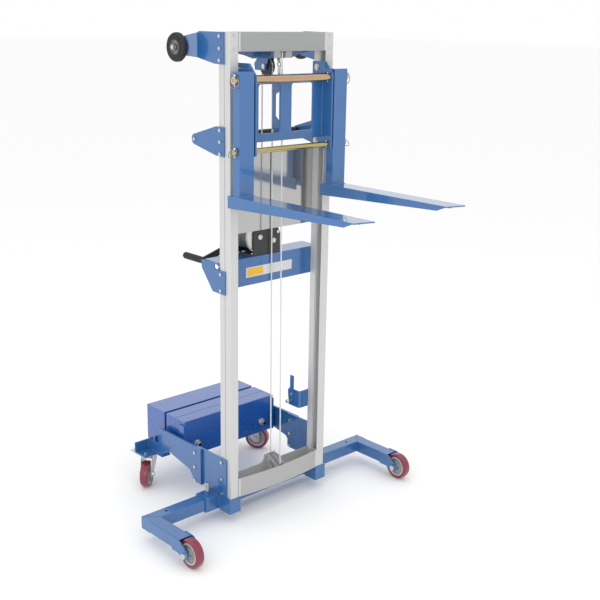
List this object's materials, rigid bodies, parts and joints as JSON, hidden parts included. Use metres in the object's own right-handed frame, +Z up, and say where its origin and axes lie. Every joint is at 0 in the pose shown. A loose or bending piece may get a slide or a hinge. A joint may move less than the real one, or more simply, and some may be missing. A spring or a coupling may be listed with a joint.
{
  "type": "manual counterbalance stacker",
  "caption": "Hand-winch stacker with telescoping mast, carriage with two forks, sliding straddle legs, swivel casters and a counterweight tail.",
  "frame": {"origin": "centre of the footprint box on the floor, machine in the picture's pose: inner mast down, carriage at its top", "axes": "+Z up, +X across the machine towards the far side in the picture, -Y the way the forks point"},
  "size_m": [1.088, 1.135, 1.7],
  "materials": {
    "aluminium_rail": "anodised, fine lengthwise extrusion lines, satin",
    "grey_steel": "grey paint, satin",
    "blue_paint": "blue powder coat, satin to gloss",
    "weight_paint": "deeper blue gloss paint on steel blocks",
    "gold_zinc": "yellow zinc plated steel rod, glossy",
    "zinc_bolt": "bright zinc plated steel",
    "polished_sheet": "bright rolled sheet with soft reflections",
    "nylon": "off-white nylon",
    "black_nylon": "black nylon",
    "rope_steel": "galvanised wire rope",
    "rubber_black": "matt black rubber",
    "black_paint": "black paint, satin",
    "grip_plastic": "dark grey plastic",
    "burgundy_tread": "burgundy polyurethane tread on a grey metal hub",
    "black_tyre": "black rubber tyre on a bright metal hub"
  },
  "bodies": {
    "base": {"outer_rails": "aluminium_rail", "rope_lift": "rope_steel", "rope_fall": "rope_steel", "top_cross_plate": "blue_paint", "top_brackets": "blue_paint", "mid_brackets": "blue_paint", "handle_bar": "zinc_bolt", "handle_grip": "rubber_black", "back_panel": "polished_sheet", "winch_beam": "blue_paint", "winch_frame": "black_paint", "base_frame": "blue_paint", "lower_side_plates": "blue_paint", "rear_arms": "blue_paint", "caster_brackets": "blue_paint", "caster_plates": "zinc_bolt", "counterweights": "weight_paint", "weight_tray": "blue_paint", "tie_rods": "zinc_bolt", "latch_bracket": "blue_paint", "frame_fasteners": "zinc_bolt"},
    "inner_mast": {"inner_rails": "aluminium_rail", "inner_top_beam": "grey_steel", "inner_crossmember": "grey_steel", "mast_glides": "nylon", "inner_mast_fasteners": "zinc_bolt", "rope_inner": "rope_steel"},
    "carriage": {"carriage_frame": "blue_paint", "carriage_rods": "gold_zinc", "carriage_fasteners": "zinc_bolt", "rope_carriage": "rope_steel"},
    "drum": {"winch_drum": "zinc_bolt"},
    "crank": {"winch_pinion": "zinc_bolt", "crank_arm": "black_paint"},
    "crank_grip": {"crank_grip": "grip_plastic"},
    "top_sheave": {"top_sheave": "black_nylon"},
    "bottom_sheave": {"bottom_sheave": "grey_steel"},
    "inner_sheave": {"inner_sheave": "grey_steel"},
    "fork_left": {"fork_left": "blue_paint"},
    "fork_right": {"fork_right": "blue_paint"},
    "roller_upper_left": {"roller_upper_left": "nylon"},
    "roller_upper_right": {"roller_upper_right": "nylon"},
    "roller_lower_left": {"roller_lower_left": "nylon"},
    "roller_lower_right": {"roller_lower_right": "nylon"},
    "leg_left": {"leg_left": "blue_paint"},
    "leg_right": {"leg_right": "blue_paint"},
    "leg_wheel_left": {"leg_wheel_left": "burgundy_tread"},
    "leg_wheel_right": {"leg_wheel_right": "burgundy_tread"},
    "pull_pin_left": {"pull_pin_left": "zinc_bolt"},
    "pull_pin_right": {"pull_pin_right": "zinc_bolt"},
    "loading_wheel_left": {"loading_wheel_left": "black_tyre"},
    "loading_wheel_right": {"loading_wheel_right": "black_tyre"},
    "caster_left": {"caster_yoke_left": "zinc_bolt"},
    "caster_right": {"caster_yoke_right": "zinc_bolt"},
    "caster_wheel_left": {"caster_wheel_left": "burgundy_tread"},
    "caster_wheel_right": {"caster_wheel_right": "burgundy_tread"},
    "brake_pedal_left": {"brake_pedal_left": "zinc_bolt"},
    "brake_pedal_right": {"brake_pedal_right": "zinc_bolt"},
    "latch_lever": {"latch_lever": "blue_paint"}
  },
  "joints": [
    {"name": "mast_lift", "type": "slide", "parent": "base", "child": "inner_mast", "axis": [0, 0, 1], "range_m": [0, 1.2], "deforming": ["rope_fall"]},
    {"name": "carriage_slide", "type": "slide", "parent": "inner_mast", "child": "carriage", "axis": [0, 0, 1], "range_m": [-1.085, 0.005], "deforming": ["rope_carriage"]},
    {"name": "drum_turn", "type": "hinge", "parent": "base", "child": "drum", "pos_m": [-0.047, 0.1315, 1.013], "axis": [0, 1, 0], "continuous": true},
    {"name": "crank_turn", "type": "hinge", "parent": "base", "child": "crank", "pos_m": [0.0155, 0.2045, 0.994], "axis": [0, 1, 0], "continuous": true},
    {"name": "crank_grip_spin", "type": "hinge", "parent": "crank", "child": "crank_grip", "pos_m": [-0.2, 0.2625, 0.93], "axis": [0, 1, 0], "continuous": true},
    {"name": "top_sheave_spin", "type": "hinge", "parent": "base", "child": "top_sheave", "pos_m": [0, 0.1065, 1.588], "axis": [1, 0, 0], "continuous": true},
    {"name": "bottom_sheave_spin", "type": "hinge", "parent": "inner_mast", "child": "bottom_sheave", "pos_m": [0, 0.0455, 0.168], "axis": [1, 0, 0], "continuous": true},
    {"name": "inner_sheave_spin", "type": "hinge", "parent": "inner_mast", "child": "inner_sheave", "pos_m": [0, 0.0525, 1.66], "axis": [1, 0, 0], "continuous": true},
    {"name": "fork_left_slide", "type": "slide", "parent": "carriage", "child": "fork_left", "axis": [1, 0, 0], "range_m": [-0.001, 0.0055]},
    {"name": "fork_right_slide", "type": "slide", "parent": "carriage", "child": "fork_right", "axis": [1, 0, 0], "range_m": [-0.0055, 0.001]},
    {"name": "roller_upper_left_spin", "type": "hinge", "parent": "carriage", "child": "roller_upper_left", "pos_m": [-0.2085, 0.039, 1.585], "axis": [1, 0, 0], "continuous": true},
    {"name": "roller_upper_right_spin", "type": "hinge", "parent": "carriage", "child": "roller_upper_right", "pos_m": [0.2085, 0.039, 1.585], "axis": [1, 0, 0], "continuous": true},
    {"name": "roller_lower_left_spin", "type": "hinge", "parent": "carriage", "child": "roller_lower_left", "pos_m": [-0.2085, 0.039, 1.336], "axis": [1, 0, 0], "continuous": true},
    {"name": "roller_lower_right_spin", "type": "hinge", "parent": "carriage", "child": "roller_lower_right", "pos_m": [0.2085, 0.039, 1.336], "axis": [1, 0, 0], "continuous": true},
    {"name": "leg_left_slide", "type": "slide", "parent": "base", "child": "leg_left", "axis": [1, 0, 0], "range_m": [0, 0.18]},
    {"name": "leg_right_slide", "type": "slide", "parent": "base", "child": "leg_right", "axis": [1, 0, 0], "range_m": [-0.18, 0]},
    {"name": "leg_wheel_left_spin", "type": "hinge", "parent": "leg_left", "child": "leg_wheel_left", "pos_m": [-0.506, -0.116, 0.05], "axis": [1, 0, 0], "continuous": true},
    {"name": "pull_pin_left_push", "type": "slide", "parent": "base", "child": "pull_pin_left", "axis": [0, 0, 1], "range_m": [-0.0095, 0.004]},
    {"name": "loading_wheel_left_spin", "type": "hinge", "parent": "base", "child": "loading_wheel_left", "pos_m": [-0.275, 0.2385, 1.648], "axis": [1, 0, 0], "continuous": true},
    {"name": "caster_left_swivel", "type": "hinge", "parent": "base", "child": "caster_left", "pos_m": [-0.248, 0.4985, 0.11], "axis": [0, 0, 1], "continuous": true},
    {"name": "leg_wheel_right_spin", "type": "hinge", "parent": "leg_right", "child": "leg_wheel_right", "pos_m": [0.506, -0.116, 0.05], "axis": [1, 0, 0], "continuous": true},
    {"name": "pull_pin_right_push", "type": "slide", "parent": "base", "child": "pull_pin_right", "axis": [0, 0, 1], "range_m": [-0.0095, 0.004]},
    {"name": "loading_wheel_right_spin", "type": "hinge", "parent": "base", "child": "loading_wheel_right", "pos_m": [0.275, 0.2385, 1.648], "axis": [1, 0, 0], "continuous": true},
    {"name": "caster_right_swivel", "type": "hinge", "parent": "base", "child": "caster_right", "pos_m": [0.248, 0.4985, 0.11], "axis": [0, 0, 1], "continuous": true},
    {"name": "caster_wheel_left_spin", "type": "hinge", "parent": "caster_left", "child": "caster_wheel_left", "pos_m": [-0.2803, 0.47165, 0.05], "axis": [0.6392, -0.769, 0], "continuous": true},
    {"name": "brake_pedal_left_press", "type": "hinge", "parent": "caster_left", "child": "brake_pedal_left", "pos_m": [-0.23493, 0.50937, 0.092], "axis": [0.6392, -0.769, 0], "range_deg": [-22, 0]},
    {"name": "caster_wheel_right_spin", "type": "hinge", "parent": "caster_right", "child": "caster_wheel_right", "pos_m": [0.269, 0.46213, 0.05], "axis": [0.866, 0.5, 0], "continuous": true},
    {"name": "brake_pedal_right_press", "type": "hinge", "parent": "caster_right", "child": "brake_pedal_right", "pos_m": [0.2395, 0.51322, 0.092], "axis": [0.866, 0.5, 0], "range_deg": [-22, 0]},
    {"name": "latch_lever_turn", "type": "hinge", "parent": "base", "child": "latch_lever", "pos_m": [0.15, 0.1205, 0.372], "axis": [1, 0, 0], "range_deg": [-35, 35]}
  ],
  "couplings": [
    {"joint": "drum_turn", "follows": "carriage_slide", "rad_per_m": 21.277},
    {"joint": "crank_turn", "follows": "carriage_slide", "rad_per_m": -85.106},
    {"joint": "top_sheave_spin", "follows": "carriage_slide", "rad_per_m": -38.462},
    {"joint": "bottom_sheave_spin", "follows": "carriage_slide", "rad_per_m": 38.462},
    {"joint": "inner_sheave_spin", "follows": "carriage_slide", "rad_per_m": 50}
  ]
}
